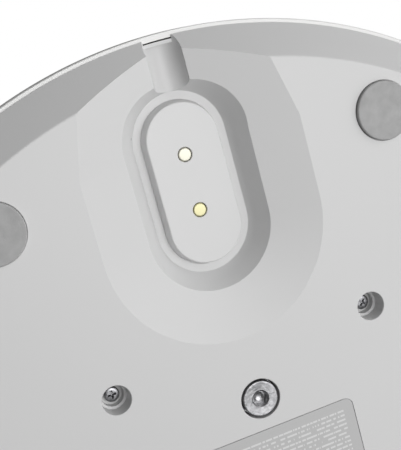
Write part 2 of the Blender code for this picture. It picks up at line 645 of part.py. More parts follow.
def wire_clip():
    """Saddle on the ballast plate that holds both wires down."""
    low = BALLAST_TOP_Z + GAP
    at = on_ring(CLIP_RING_R, WIRE_ANGLE)
    clip = block("wire_clip", CLIP_SIZE, (*at, low + CLIP_SIZE[2] / 2), ((0.6, 0.6, 0.6), 0.5), WIRE_ANGLE)
    return combine(clip, block("clip_tunnel", CLIP_TUNNEL, (*at, low), turn=WIRE_ANGLE))


def small_pieces():
    for i, at in enumerate(WELLS, start=1):
        cross_head_screw(f"cover_screw_{i}", at, WELL_FLOOR_Z - 2.3 * MM, 12 * MM, 2.75 * MM, 1.5 * MM)
    for i, at in enumerate(BLOCK_SCREWS, start=1):
        cross_head_screw(f"block_screw_{i}", at, PLATE_Z + PLATE_T + 2.1 * MM, 8.6 * MM, 2.4 * MM, 1.25 * MM,
                         up=-1)
    for i, at in enumerate(BOARD_SCREWS, start=1):
        cross_head_screw(f"board_screw_{i}", at, BOARD_TOP_Z + 1.8 * MM, 7 * MM, 2.0 * MM, 1.0 * MM, up=-1)
    low = FACE_Z + MAGNET_SKIN + GAP
    for i, at in enumerate(MAGNETS, start=1):
        cylinder(f"magnet_{i}", MAGNET_R, low, low + MAGNET_T, ((0.6, 0.6, 0.6), 0.25, 1.0), at=at)
    rounded_rectangle("rating_label", LABEL_SIZE, LABEL_Y, FLAT_Z, FLAT_Z + LABEL_T, ((0.6, 0.6, 0.6), 0.4))


def main():
    lower_cover()
    upper_shell()
    ballast_plate()
    pole_flange()
    trim_collar()
    pole_connector()
    bolts()
    feet()
    contact_block()
    block_seal()
    contact_board()
    for name, at in CONTACTS.items():
        contact_pin(name, at)
        spring(name, at)
    supply_wire("supply_wire_positive", 1)
    supply_wire("supply_wire_negative", -1)
    wire_clip()
    small_pieces()


main()
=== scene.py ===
"""Looks of the round pedestal base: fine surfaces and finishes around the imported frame."""
import math

import bmesh
import bpy
from mathutils import Matrix, Vector


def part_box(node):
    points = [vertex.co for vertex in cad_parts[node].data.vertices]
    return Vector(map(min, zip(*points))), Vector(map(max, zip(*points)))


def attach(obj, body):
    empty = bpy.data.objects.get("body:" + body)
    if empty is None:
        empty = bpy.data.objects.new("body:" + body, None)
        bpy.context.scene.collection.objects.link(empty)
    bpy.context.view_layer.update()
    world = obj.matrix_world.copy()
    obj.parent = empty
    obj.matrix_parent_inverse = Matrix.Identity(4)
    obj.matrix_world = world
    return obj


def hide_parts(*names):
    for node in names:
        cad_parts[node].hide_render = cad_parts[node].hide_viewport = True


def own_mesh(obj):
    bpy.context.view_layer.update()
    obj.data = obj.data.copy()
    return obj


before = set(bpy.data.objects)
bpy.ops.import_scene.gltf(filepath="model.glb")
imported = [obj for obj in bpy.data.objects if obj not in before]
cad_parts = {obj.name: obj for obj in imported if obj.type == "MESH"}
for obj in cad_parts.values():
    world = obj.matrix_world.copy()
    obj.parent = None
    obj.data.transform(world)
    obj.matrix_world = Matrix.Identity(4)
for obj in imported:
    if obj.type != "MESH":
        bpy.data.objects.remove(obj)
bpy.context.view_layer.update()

MM = 0.001

# Sizes that the frame gives
LABEL_LOW, LABEL_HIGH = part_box("rating_label")
FLAT_Z = LABEL_LOW.z
SHELL_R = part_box("upper_shell")[1].x
FOOT_LOW, FOOT_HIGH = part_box("foot_1")
FOOT_R = (FOOT_HIGH.x - FOOT_LOW.x) / 2
BLOCK_LOW, BLOCK_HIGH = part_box("contact_block")
FACE_Z = BLOCK_LOW.z
POCKET_Y = (BLOCK_LOW.y + BLOCK_HIGH.y) / 2
SCREW_LOW, SCREW_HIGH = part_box("cover_screw_1")
BOLT_LOW, BOLT_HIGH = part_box("pole_bolt_1")
FLANGE_LOW, FLANGE_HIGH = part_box("pole_flange")
RING_LOW, RING_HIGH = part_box("trim_collar")

# Sizes that the frame's boxes do not give
FLAT_R = 156.9 * MM
FLANK_RISE = 12.2 * MM
FLANK_R = 168.98 * MM
WALL = 2.5 * MM
SPIGOT_R = 167.6 * MM
SPIGOT_TOP = FLAT_Z + 16 * MM
POCKET_HALF_L = 15.6 * MM
POCKET_MOUTH_R = 22.5 * MM
POCKET_MOUTH_DEPTH = 4.8 * MM
POCKET_FLOOR_R = 17.0 * MM
POCKET_FLOOR_Z = FLAT_Z + 13.6 * MM
APRON_R = 40.2 * MM
APRON_LOW_Y = 102 * MM
APRON_SIDE_Y = 131 * MM
APRON_END_Y = 176 * MM
APRON_TAPER = 0.25
APRON_SLOPE = 0.28
APRON_RUN = 27 * MM
CHANNEL_R = 6.4 * MM
CHANNEL_X = -1.0 * MM
CHANNEL_START = Vector((CHANNEL_X, 142 * MM, FLAT_Z + 6.5 * MM))
CHANNEL_END = Vector((CHANNEL_X, 174 * MM, FLAT_Z + 8.9 * MM))
CHANNEL_STOP_Y = 166.3 * MM
CHANNEL_WALL = 2 * MM
BLOCK_FACE_R = 13.2 * MM
BLOCK_ROOT_R = 14.0 * MM
BLOCK_PLATE_R = 18.5 * MM
BLOCK_EAR_HALF_Y = 13 * MM
BLOCK_SCREW_X = 21.2 * MM
BLOCK_SCREW_Y = 8 * MM
BLOCK_SCREW_HOLE_R = 1.55 * MM
MAGNET_OFFSET = 22 * MM
MAGNET_HOLE_R = 4.3 * MM
MAGNET_SKIN = 1.6 * MM             # plastic between a magnet and the platform's face
BOARD_SCREW_X = 8.5 * MM
BOARD_PILOT_R = 1.3 * MM
CONTACT_R = 2.24 * MM
CONTACT_HOLE_R = 2.6 * MM
CONTACT_COLLAR_R = 3 * MM
CONTACT_LENGTH = 2.9 * MM          # from its face to its collar
FOOT_RING_R = 142.6 * MM
WELL_RING_R = 74.8 * MM
WELL_ANGLES = (41, -41, 139, -139)
WELL_FLOOR_Z = FLAT_Z + 9.4 * MM
WELL_MOUTH_R = 5.5 * MM
WELL_TUBE_R = 7.5 * MM
SCREW_HOLE_R = 1.8 * MM
BOLT_RING_R = 38.3 * MM
BOLT_ANGLES = (0, 120, 240)
BOLT_KEY = 5 * MM                  # across the flats of the hexagon
BOLT_SHANK_R = 4 * MM
BORE_R = 7.3 * MM
SLEEVE_R = 9.6 * MM
SLEEVE_TOP = FLAT_Z + 6.9 * MM
RIM_Z = FLAT_Z + FLANK_RISE
SHELL_HOLE_R = 26.5 * MM
SHELL_SIDE_TOP = 20.5 * MM         # where the shell's side begins to round over
CONTACTS = {}
for contact_name in ("outer", "inner"):
    contact_low, contact_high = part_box(f"contact_pin_{contact_name}")
    CONTACTS[contact_name] = ((contact_low.x + contact_high.x) / 2, (contact_low.y + contact_high.y) / 2)


def on_ring(radius, degrees):
    turn = math.radians(degrees)
    return radius * math.sin(turn), radius * math.cos(turn)


WELLS = [on_ring(WELL_RING_R, angle) for angle in WELL_ANGLES]
BOLTS = [on_ring(BOLT_RING_R, angle) for angle in BOLT_ANGLES]
FEET = [on_ring(FOOT_RING_R, 30 + 60 * i) for i in range(6)]


# Camera and studio ------------------------------------------------------------------------------

def set_camera():
    """A long lens from below, looking at the pocket."""
    data = bpy.data.cameras.new("camera")
    data.sensor_width = 36
    data.lens = 83.4
    data.clip_start = 0.01
    camera = bpy.data.objects.new("camera", data)
    camera.location = (93.19 * MM, 178.88 * MM, -333.53 * MM)
    camera.rotation_euler = [math.radians(a) for a in (172.368, 17.460, -164.283)]
    bpy.context.scene.collection.objects.link(camera)
    bpy.context.scene.camera = camera


def softbox(name, direction, size, power, distance=1.2, centre=(0, 0.08, 0)):
    """A round studio light that stands in a direction from the base and faces it."""
    data = bpy.data.lights.new(name, "AREA")
    data.shape = "DISK"
    data.size = size
    data.energy = power
    lamp = bpy.data.objects.new(name, data)
    towards = Vector(direction).normalized()
    lamp.location = Vector(centre) + towards * distance
    lamp.rotation_euler = towards.to_track_quat("Z", "Y").to_euler()
    lamp.visible_camera = False
    bpy.context.scene.collection.objects.link(lamp)


def set_world(strength):
    """White to look at, and a grey fill for the light it gives."""
    world = bpy.data.worlds.new("studio")
    bpy.context.scene.world = world
    world.use_nodes = True
    nodes, links = world.node_tree.nodes, world.node_tree.links
    nodes.clear()
    out = nodes.new("ShaderNodeOutputWorld")
    mix = nodes.new("ShaderNodeMixShader")
    path = nodes.new("ShaderNodeLightPath")
    fill = nodes.new("ShaderNodeBackground")
    fill.inputs["Color"].default_value = (1, 1, 1, 1)
    fill.inputs["Strength"].default_value = strength
    seen = nodes.new("ShaderNodeBackground")
    seen.inputs["Color"].default_value = (1, 1, 1, 1)
    seen.inputs["Strength"].default_value = 1.0
    links.new(path.outputs["Is Camera Ray"], mix.inputs["Fac"])
    links.new(fill.outputs["Background"], mix.inputs[1])
    links.new(seen.outputs["Background"], mix.inputs[2])
    links.new(mix.outputs["Shader"], out.inputs["Surface"])


def set_floor():
    """A pale floor under the feet that is seen from above only, so that the underside can be looked at."""
    bm = bmesh.new()
    bmesh.ops.create_grid(bm, x_segments=1, y_segments=1, size=4)
    mesh = bpy.data.meshes.new("studio_floor")
    bm.to_mesh(mesh)
    bm.free()
    floor = bpy.data.objects.new("studio_floor", mesh)
    floor.location.z = -0.2 * MM
    bpy.context.scene.collection.objects.link(floor)
    mat = bpy.data.materials.new("Pale Studio Floor")
    mat.use_nodes = True
    nodes, links = mat.node_tree.nodes, mat.node_tree.links
    shader = nodes["Principled BSDF"]
    shader.inputs["Base Color"].default_value = (0.8, 0.8, 0.79, 1)
    shader.inputs["Roughness"].default_value = 0.7
    clear = nodes.new("ShaderNodeBsdfTransparent")
    side = nodes.new("ShaderNodeNewGeometry")
    mix = nodes.new("ShaderNodeMixShader")
    links.new(side.outputs["Backfacing"], mix.inputs["Fac"])
    links.new(shader.outputs["BSDF"], mix.inputs[1])
    links.new(clear.outputs["BSDF"], mix.inputs[2])
    links.new(mix.outputs["Shader"], nodes["Material Output"].inputs["Surface"])
    mesh.materials.append(mat)
    floor.visible_shadow = False
    floor.visible_diffuse = False
    floor.visible_glossy = False


set_camera()
set_world(0.15)
LIGHTS = {
    "front_box": ((-0.25, 0.05, -1.0), 0.9, 9.5),
    "right_box": ((-1.0, 0.1, -0.45), 0.7, 2.0),
    "far_right_box": ((-0.8, 0.8, -0.6), 0.7, 1.7),
    "near_right_box": ((-0.8, -0.8, -0.6), 0.7, 1.95),
}
for light_name, (light_direction, light_size, light_power) in LIGHTS.items():
    softbox(light_name, light_direction, light_size, light_power)
softbox("top_box", (-0.4, -0.5, 1.0), 1.1, 16.0, distance=1.4, centre=(0, 0, 0))
softbox("top_fill", (0.9, 0.6, 0.7), 0.8, 5.0, distance=1.4, centre=(0, 0, 0))
set_floor()


# Mesh tools -------------------------------------------------------------------------------------

def shaped(name, bm, sharp=24):
    """Makes an object of a bmesh, with faces out and edges sharp past an angle."""
    bmesh.ops.remove_doubles(bm, verts=bm.verts, dist=1e-7)
    bmesh.ops.recalc_face_normals(bm, faces=bm.faces)
    mesh = bpy.data.meshes.new(name)
    bm.to_mesh(mesh)
    bm.free()
    piece = bpy.data.objects.new(name, mesh)
    bpy.context.scene.collection.objects.link(piece)
    mesh.shade_smooth()
    mesh.set_sharp_from_angle(angle=math.radians(sharp))
    return piece


def smooth(piece, sharp=24):
    """Smooth shading with sharp edges past an angle, where large flat faces keep their own normals."""
    piece.data.shade_smooth()
    piece.data.set_sharp_from_angle(angle=math.radians(sharp))
    weigh = piece.modifiers.new("weigh", "WEIGHTED_NORMAL")
    weigh.weight = 50
    weigh.keep_sharp = True
    bpy.context.view_layer.update()
    apply_modifiers(piece)


def lathe(bm, outline, at=(0, 0), steps=64, closed=False):
    """Adds an outline of (radius, height) turned about an upright axis."""
    rings = []
    for radius, height in outline:
        if radius < 1e-9:
            rings.append([bm.verts.new((at[0], at[1], height))])
            continue
        rings.append([bm.verts.new((at[0] + radius * math.cos(2 * math.pi * i / steps),
                                    at[1] + radius * math.sin(2 * math.pi * i / steps), height))
                      for i in range(steps)])
    pairs = list(zip(rings, rings[1:]))
    if closed:
        pairs.append((rings[-1], rings[0]))
    for one, two in pairs:
        for i in range(steps):
            j = (i + 1) % steps
            corners = []
            for vert in (one[i % len(one)], one[j % len(one)], two[j % len(two)], two[i % len(two)]):
                if vert not in corners:
                    corners.append(vert)
            if len(corners) > 2:
                bm.faces.new(corners)
    return bm


def arc(centre, radius, start, end, steps=5):
    """Points of an arc in an outline; angles in degrees from +radius towards +height."""
    turns = [math.radians(start + (end - start) * i / steps) for i in range(steps + 1)]
    return [(centre[0] + radius * math.cos(a), centre[1] + radius * math.sin(a)) for a in turns]


def turned(name, outline, steps=256, closed=False, sharp=24, at=(0, 0)):
    """A turned solid as an object of its own."""
    return shaped(name, lathe(bmesh.new(), outline, at, steps, closed), sharp)


def loft(name, sections):
    """Joins outlines with the same number of points and closes both ends."""
    bm = bmesh.new()
    rings = [[bm.verts.new(point) for point in section] for section in sections]
    count = len(rings[0])
    for one, two in zip(rings, rings[1:]):
        for i in range(count):
            j = (i + 1) % count
            bm.faces.new((one[i], one[j], two[j], two[i]))
    bm.faces.new(rings[0])
    bm.faces.new(rings[-1])
    return shaped(name, bm)


def oval(radius, z, steps=40):
    """A stadium outline along Y round the middle of the pocket."""
    points = []
    for end in (1, -1):
        for i in range(steps + 1):
            turn = math.pi * i / steps
            points.append((end * radius * math.cos(turn),
                           POCKET_Y + end * (POCKET_HALF_L + radius * math.sin(turn)), z))
    return points


def apply_modifiers(piece):
    """Turns the evaluated shape into a plain mesh and drops the modifiers."""
    graph = bpy.context.evaluated_depsgraph_get()
    mesh = bpy.data.meshes.new_from_object(piece.evaluated_get(graph))
    piece.modifiers.clear()
    piece.data = mesh
    return piece


def cut(piece, cutter, how="DIFFERENCE"):
    """Cuts or joins with another solid, which is then removed."""
    step = piece.modifiers.new("cut", "BOOLEAN")
    step.operation = how
    step.solver = "EXACT"
    step.object = cutter
    bpy.context.view_layer.update()
    apply_modifiers(piece)
    bpy.data.objects.remove(cutter, do_unlink=True)
    return piece


def round_edges(piece, width, wanted, segments=4, sharp=20):
    """Rounds the sharp edges whose middle is wanted."""
    bm = bmesh.new()
    bm.from_mesh(piece.data)
    limit = math.radians(sharp)
    edges = [edge for edge in bm.edges if len(edge.link_faces) == 2 and edge.calc_face_angle(0) > limit
             and wanted((edge.verts[0].co + edge.verts[1].co) / 2)]
    bmesh.ops.bevel(bm, geom=edges, offset=width, segments=segments, profile=0.5, affect="EDGES",
                    clamp_overlap=True)
    bm.to_mesh(piece.data)
    bm.free()
    return piece


def dress(piece, material, nodes, body="base"):
    """Gives a piece its finish, hides the nodes it stands for and parents it to the body it moves with."""
    piece.data.materials.clear()
    piece.data.materials.append(material)
    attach(piece, body)
    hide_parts(*nodes)
    return piece


# Repeats by Geometry Nodes ----------------------------------------------------------------------

def repeat_tree():
    """One piece set at every point of the host mesh, each turned by a step more than the last."""
    tree = bpy.data.node_groups.new("Set Pieces At Points", "GeometryNodeTree")
    sockets = tree.interface
    sockets.new_socket("Geometry", in_out="INPUT", socket_type="NodeSocketGeometry")
    sockets.new_socket("Piece", in_out="INPUT", socket_type="NodeSocketObject")
    sockets.new_socket("Turn Step", in_out="INPUT", socket_type="NodeSocketFloat")
    sockets.new_socket("Finish", in_out="INPUT", socket_type="NodeSocketMaterial")
    sockets.new_socket("Geometry", in_out="OUTPUT", socket_type="NodeSocketGeometry")
    nodes, links = tree.nodes, tree.links
    given = nodes.new("NodeGroupInput")
    made = nodes.new("NodeGroupOutput")
    info = nodes.new("GeometryNodeObjectInfo")
    index = nodes.new("GeometryNodeInputIndex")
    angle = nodes.new("ShaderNodeMath")
    angle.operation = "MULTIPLY"
    turn = nodes.new("ShaderNodeCombineXYZ")
    place = nodes.new("GeometryNodeInstanceOnPoints")
    real = nodes.new("GeometryNodeRealizeInstances")
    coat = nodes.new("GeometryNodeSetMaterial")
    links.new(given.outputs["Geometry"], place.inputs["Points"])
    links.new(given.outputs["Piece"], info.inputs["Object"])
    links.new(info.outputs["Geometry"], place.inputs["Instance"])
    links.new(index.outputs["Index"], angle.inputs[0])
    links.new(given.outputs["Turn Step"], angle.inputs[1])
    links.new(angle.outputs["Value"], turn.inputs["Z"])
    links.new(turn.outputs["Vector"], place.inputs["Rotation"])
    links.new(place.outputs["Instances"], real.inputs["Geometry"])
    links.new(real.outputs["Geometry"], coat.inputs["Geometry"])
    links.new(given.outputs["Finish"], coat.inputs["Material"])
    links.new(coat.outputs["Geometry"], made.inputs["Geometry"])
    return tree


def socket_id(tree, name):
    """The identifier that a modifier uses for an input of its tree."""
    return next(item.identifier for item in tree.interface.items_tree
                if item.in_out == "INPUT" and item.name == name)


def repeat(name, master, places, turn_step, finish_material, tree, sharp=24):
    """A mesh of one master piece at several places, made by the tree."""
    mesh = bpy.data.meshes.new(name)
    mesh.from_pydata([Vector((*at, 0)) for at in places], [], [])
    host = bpy.data.objects.new(name, mesh)
    bpy.context.scene.collection.objects.link(host)
    step = host.modifiers.new("set", "NODES")
    step.node_group = tree
    step[socket_id(tree, "Piece")] = master
    step[socket_id(tree, "Turn Step")] = turn_step
    step[socket_id(tree, "Finish")] = finish_material
    bpy.context.view_layer.update()
    apply_modifiers(host)
    bpy.data.objects.remove(master, do_unlink=True)
    smooth(host, sharp)
    return host


# Shader groups ----------------------------------------------------------------------------------

def new_group(name, inputs, outputs):
    """A shader group with number sockets, and its input and output nodes."""
    group = bpy.data.node_groups.new(name, "ShaderNodeTree")
    for label, value in inputs:
        socket = group.interface.new_socket(label, in_out="INPUT", socket_type="NodeSocketFloat")
        socket.default_value = value
    for label in outputs:
        group.interface.new_socket(label, in_out="OUTPUT", socket_type="NodeSocketFloat")
    given = group.nodes.new("NodeGroupInput")
    made = group.nodes.new("NodeGroupOutput")
    return group, given, made


def math_node(group, operation, one, two, three=None):
    node = group.nodes.new("ShaderNodeMath")
    node.operation = operation
    for i, value in enumerate((one, two, three)):
        if value is None:
            continue
        if isinstance(value, (int, float)):
            node.inputs[i].default_value = value
        else:
            group.links.new(value, node.inputs[i])
    return node.outputs["Value"]


def noise_node(group, scale, detail=2.0, vector=None, rough=0.5):
    node = group.nodes.new("ShaderNodeTexNoise")
    node.inputs["Detail"].default_value = detail
    node.inputs["Roughness"].default_value = rough
    if vector is None:
        vector = group.nodes.new("ShaderNodeTexCoord").outputs["Object"]
    group.links.new(vector, node.inputs["Vector"])
    if isinstance(scale, (int, float)):
        node.inputs["Scale"].default_value = scale
    else:
        group.links.new(scale, node.inputs["Scale"])
    return node.outputs["Fac"]


def grain_group():
    """Fine texture of a moulded or cast face, with slow changes of tone and a few specks."""
    group, given, made = new_group(
        "Moulded Grain",
        [("Grain Scale", 2500), ("Patch Scale", 18), ("Tone", 0.03), ("Specks", 0.0)],
        ["Height", "Tone", "Rough"])
    fine = noise_node(group, given.outputs["Grain Scale"], 3)
    patch = noise_node(group, given.outputs["Patch Scale"], 3)
    spread = math_node(group, "MULTIPLY_ADD", patch, 2.0, -1.0)
    tone = math_node(group, "MULTIPLY_ADD", spread, given.outputs["Tone"], 1.0)
    dots = group.nodes.new("ShaderNodeTexVoronoi")
    dots.inputs["Scale"].default_value = 45
    group.links.new(group.nodes.new("ShaderNodeTexCoord").outputs["Object"], dots.inputs["Vector"])
    dot = math_node(group, "LESS_THAN", dots.outputs["Distance"], 0.022)
    rare = math_node(group, "GREATER_THAN", noise_node(group, 9, 1), 0.56)
    speck = math_node(group, "MULTIPLY", math_node(group, "MULTIPLY", dot, rare), given.outputs["Specks"])
    group.links.new(fine, made.inputs["Height"])
    group.links.new(math_node(group, "SUBTRACT", tone, speck), made.inputs["Tone"])
    group.links.new(spread, made.inputs["Rough"])
    return group


def scale_group():
    """Forged and plated steel: coarse scale, fine pits and bright worn patches."""
    group, given, made = new_group("Plated Scale", [("Scale", 900)], ["Height", "Tone", "Rough"])
    coarse = noise_node(group, given.outputs["Scale"], 5, rough=0.65)
    large = noise_node(group, math_node(group, "MULTIPLY", given.outputs["Scale"], 0.35), 2)
    both = math_node(group, "MULTIPLY_ADD", large, 0.6, math_node(group, "MULTIPLY", coarse, 0.7))
    tone = math_node(group, "MULTIPLY_ADD", both, 2.4, -0.55)
    group.links.new(both, made.inputs["Height"])
    group.links.new(tone, made.inputs["Tone"])
    group.links.new(coarse, made.inputs["Rough"])
    return group


def turning_group():
    """Fine rings left by a lathe round an upright axis at the given place."""
    group, given, made = new_group("Turning Marks", [("Axis X", 0), ("Axis Y", 0), ("Pitch", 9000)],
                                   ["Height", "Tone", "Rough"])
    place = group.nodes.new("ShaderNodeTexCoord").outputs["Object"]
    split = group.nodes.new("ShaderNodeSeparateXYZ")
    group.links.new(place, split.inputs["Vector"])
    dx = math_node(group, "SUBTRACT", split.outputs["X"], given.outputs["Axis X"])
    dy = math_node(group, "SUBTRACT", split.outputs["Y"], given.outputs["Axis Y"])
    square = math_node(group, "MULTIPLY_ADD", dy, dy, math_node(group, "MULTIPLY", dx, dx))
    radius = math_node(group, "SQRT", square, None)
    wave = math_node(group, "SINE", math_node(group, "MULTIPLY", radius, given.outputs["Pitch"]), None)
    uneven = noise_node(group, 1400, 2)
    group.links.new(math_node(group, "MULTIPLY_ADD", wave, 0.3, uneven), made.inputs["Height"])
    group.links.new(math_node(group, "MULTIPLY_ADD", uneven, 0.12, 0.94), made.inputs["Tone"])
    group.links.new(uneven, made.inputs["Rough"])
    return group


GRAIN = grain_group()
SCALE = scale_group()
TURNING = turning_group()


def finish(name, colour, roughness, group, values, metallic=0.0, bump=0.1, distance=0.05, spread=0.06,
           coat=0.0):
    """A Principled material whose tone, roughness and bump come from one of the groups."""
    mat = bpy.data.materials.new(name)
    mat.use_nodes = True
    nodes, links = mat.node_tree.nodes, mat.node_tree.links
    shader = nodes["Principled BSDF"]
    shader.inputs["Metallic"].default_value = metallic
    shader.inputs["Coat Weight"].default_value = coat
    effect = nodes.new("ShaderNodeGroup")
    effect.node_tree = group
    for label, value in values.items():
        effect.inputs[label].default_value = value
    tint = nodes.new("ShaderNodeMix")
    tint.data_type = "RGBA"
    tint.blend_type = "MULTIPLY"
    tint.inputs["Factor"].default_value = 1.0
    tint.inputs["A"].default_value = (*colour, 1)
    links.new(effect.outputs["Tone"], tint.inputs["B"])
    links.new(tint.outputs["Result"], shader.inputs["Base Color"])
    rough = nodes.new("ShaderNodeMath")
    rough.operation = "MULTIPLY_ADD"
    rough.use_clamp = True
    links.new(effect.outputs["Rough"], rough.inputs[0])
    rough.inputs[1].default_value = spread
    rough.inputs[2].default_value = roughness
    links.new(rough.outputs["Value"], shader.inputs["Roughness"])
    relief = nodes.new("ShaderNodeBump")
    relief.inputs["Strength"].default_value = bump
    relief.inputs["Distance"].default_value = distance * MM
    links.new(effect.outputs["Height"], relief.inputs["Height"])
    links.new(relief.outputs["Normal"], shader.inputs["Normal"])
    return mat


SATIN_WHITE = finish(
    "Satin White Moulding", (0.66, 0.66, 0.66), 0.46, GRAIN,
    {"Grain Scale": 3200, "Patch Scale": 14, "Tone": 0.02, "Specks": 0.35}, bump=0.08)
SHELL_WHITE = finish(
    "Polished White Casing", (0.78, 0.78, 0.77), 0.3, GRAIN,
    {"Grain Scale": 2200, "Patch Scale": 10, "Tone": 0.015}, bump=0.03, coat=0.15)
BLOCK_WHITE = finish(
    "Satin White Contact Block", (0.68, 0.68, 0.68), 0.4, GRAIN,
    {"Grain Scale": 3600, "Patch Scale": 20, "Tone": 0.015, "Specks": 0.3}, bump=0.05)
FOOT_RUBBER = finish(
    "Mottled Grey Foot Rubber", (0.40, 0.40, 0.40), 0.75, GRAIN,
    {"Grain Scale": 1700, "Patch Scale": 260, "Tone": 0.22}, bump=0.35, distance=0.12)
# Same gold plating on both contacts: the outer one's near-white colour is a painted reflection of a bright
# light, and the inner one's pale yellow is the gold itself.
CONTACT_TINTS_WITH_PAINTED_REFLECTION = {"outer": (0.86, 0.84, 0.72), "inner": (0.84, 0.80, 0.48)}
GOLD = finish(
    "Gold Plated Pin", (1.0, 0.85, 0.5), 0.25, TURNING, {"Pitch": 26000},
    metallic=1.0, bump=0.1, distance=0.01)
BOLT_STEEL = finish(
    "Forged Zinc Bolt", (0.36, 0.36, 0.37), 0.24, SCALE, {"Scale": 900},
    metallic=1.0, bump=0.7, distance=0.25, spread=0.2)
SCREW_STEEL = finish(
    "Zinc Plated Screw", (0.26, 0.26, 0.27), 0.25, SCALE, {"Scale": 2400},
    metallic=1.0, bump=0.25, distance=0.05, spread=0.12)
ALUMINIUM = finish(
    "Machined Aluminium", (0.78, 0.78, 0.79), 0.26, TURNING, {"Pitch": 12000},
    metallic=1.0, bump=0.2, distance=0.03)
BLACK = finish(
    "Black Connector Moulding", (0.03, 0.03, 0.032), 0.45, GRAIN, {"Grain Scale": 2600, "Tone": 0.2},
    bump=0.15)
PLATE = finish(
    "Blackened Ballast Plate", (0.10, 0.10, 0.11), 0.5, SCALE, {"Scale": 300},
    metallic=0.8, bump=0.4, distance=0.1, spread=0.2)
LAMINATE = finish(
    "Green Board Laminate", (0.02, 0.16, 0.06), 0.35, GRAIN, {"Grain Scale": 900, "Tone": 0.2}, bump=0.2)
NICKEL = finish(
    "Nickel Plated Magnet", (0.72, 0.70, 0.66), 0.15, TURNING, {"Pitch": 5000},
    metallic=1.0, bump=0.05, distance=0.01)
SPRING = finish(
    "Bright Spring Wire", (0.62, 0.62, 0.63), 0.25, SCALE, {"Scale": 5000},
    metallic=1.0, bump=0.1, distance=0.02)
SEAL = finish(
    "Black Foam Seal", (0.035, 0.035, 0.035), 0.9, GRAIN, {"Grain Scale": 1500, "Tone": 0.3},
    bump=0.8, distance=0.2)
NYLON = finish(
    "Natural Nylon Clip", (0.72, 0.71, 0.66), 0.4, GRAIN, {"Grain Scale": 1800, "Tone": 0.04}, bump=0.1)
RED_WIRE = finish(
    "Red Wire Insulation", (0.45, 0.02, 0.02), 0.4, GRAIN, {"Grain Scale": 1800, "Tone": 0.1}, bump=0.1)
BLACK_WIRE = finish(
    "Black Wire Insulation", (0.02, 0.02, 0.02), 0.4, GRAIN, {"Grain Scale": 1800, "Tone": 0.1}, bump=0.1)


def label_film():
    """Grey printed film with rows of short pale bars in place of print."""
    mat = bpy.data.materials.new("Printed Label Film")
    mat.use_nodes = True
    tree = mat.node_tree
    shader = tree.nodes["Principled BSDF"]
    place = tree.nodes.new("ShaderNodeTexCoord").outputs["Object"]
    split = tree.nodes.new("ShaderNodeSeparateXYZ")
    tree.links.new(place, split.inputs["Vector"])
    row_pitch = 1.7 * MM
    row = math_node(tree, "DIVIDE", split.outputs["Y"], row_pitch)
    line = math_node(tree, "LESS_THAN", math_node(tree, "FRACT", row, None), 0.42)
    step = math_node(tree, "MULTIPLY", math_node(tree, "FLOOR", row, None), 7.31)
    seed = tree.nodes.new("ShaderNodeCombineXYZ")
    tree.links.new(math_node(tree, "MULTIPLY", split.outputs["X"], 900), seed.inputs["X"])
    tree.links.new(step, seed.inputs["Y"])
    word = math_node(tree, "GREATER_THAN", noise_node(tree, 1.0, 1, seed.outputs["Vector"]), 0.45)
    inside_x = math_node(tree, "LESS_THAN", math_node(tree, "ABSOLUTE", split.outputs["X"], None),
                         LABEL_HIGH.x - 4 * MM)
    middle = (LABEL_LOW.y + LABEL_HIGH.y) / 2
    from_middle = math_node(tree, "ABSOLUTE", math_node(tree, "SUBTRACT", split.outputs["Y"], middle), None)
    inside_y = math_node(tree, "LESS_THAN", from_middle, (LABEL_HIGH.y - LABEL_LOW.y) / 2 - 3 * MM)
    ink = math_node(tree, "MULTIPLY", math_node(tree, "MULTIPLY", line, word),
                    math_node(tree, "MULTIPLY", inside_x, inside_y))
    tint = tree.nodes.new("ShaderNodeMix")
    tint.data_type = "RGBA"
    tint.inputs["A"].default_value = (0.52, 0.52, 0.52, 1)
    tint.inputs["B"].default_value = (0.70, 0.70, 0.70, 1)
    tree.links.new(ink, tint.inputs["Factor"])
    tree.links.new(tint.outputs["Result"], shader.inputs["Base Color"])
    tree.links.new(math_node(tree, "MULTIPLY_ADD", ink, 0.15, 0.35), shader.inputs["Roughness"])
    return mat


# Casing -----------------------------------------------------------------------------------------

def apron_outline(inset, z, steps=48):
    """The dished surface's outline moved in by inset: a half circle whose sides draw in past the pocket."""
    radius = APRON_R - inset
    side = APRON_R - inset / math.cos(math.atan(APRON_TAPER))
    end = side - APRON_TAPER * (APRON_END_Y - APRON_SIDE_Y)
    points = [(-end, APRON_END_Y, z), (-side, APRON_SIDE_Y, z)]
    for i in range(steps + 1):
        turn = math.pi * i / steps
        points.append((-radius * math.cos(turn), APRON_LOW_Y - radius * math.sin(turn), z))
    return points + [(side, APRON_SIDE_Y, z), (end, APRON_END_Y, z)]


def apron(grow, lift):
    """The dished surface as a cutter, which a wall behind it is made of as well."""
    return loft("apron", [
        apron_outline(-grow, FLAT_Z - 3 * MM + lift),
        apron_outline(-grow, FLAT_Z + lift),
        apron_outline(APRON_RUN - grow, FLAT_Z + APRON_RUN * APRON_SLOPE + lift)])


def channel(radius):
    """The round channel for the cord, tilted towards the rim."""
    along = CHANNEL_END - CHANNEL_START
    piece = turned("channel", [(0, 0), (radius, 0), (radius, along.length), (0, along.length)], steps=96)
    tilt = along.to_track_quat("Z", "Y").to_matrix().to_4x4()
    piece.data.transform(Matrix.Translation(CHANNEL_START) @ tilt)
    return piece


def rim_kept():
    """Where the channel's cutter stops above the flank, so that the rim stays whole behind its mouth."""
    reach = 10 * MM
    low = RIM_Z + 0.03 * MM
    corners = [(-reach, 0), (reach, 0), (reach, reach), (-reach, reach)]
    return loft("rim_kept", [[(CHANNEL_X + x, CHANNEL_STOP_Y + y, z) for x, y in corners]
                             for z in (low, low + reach)])


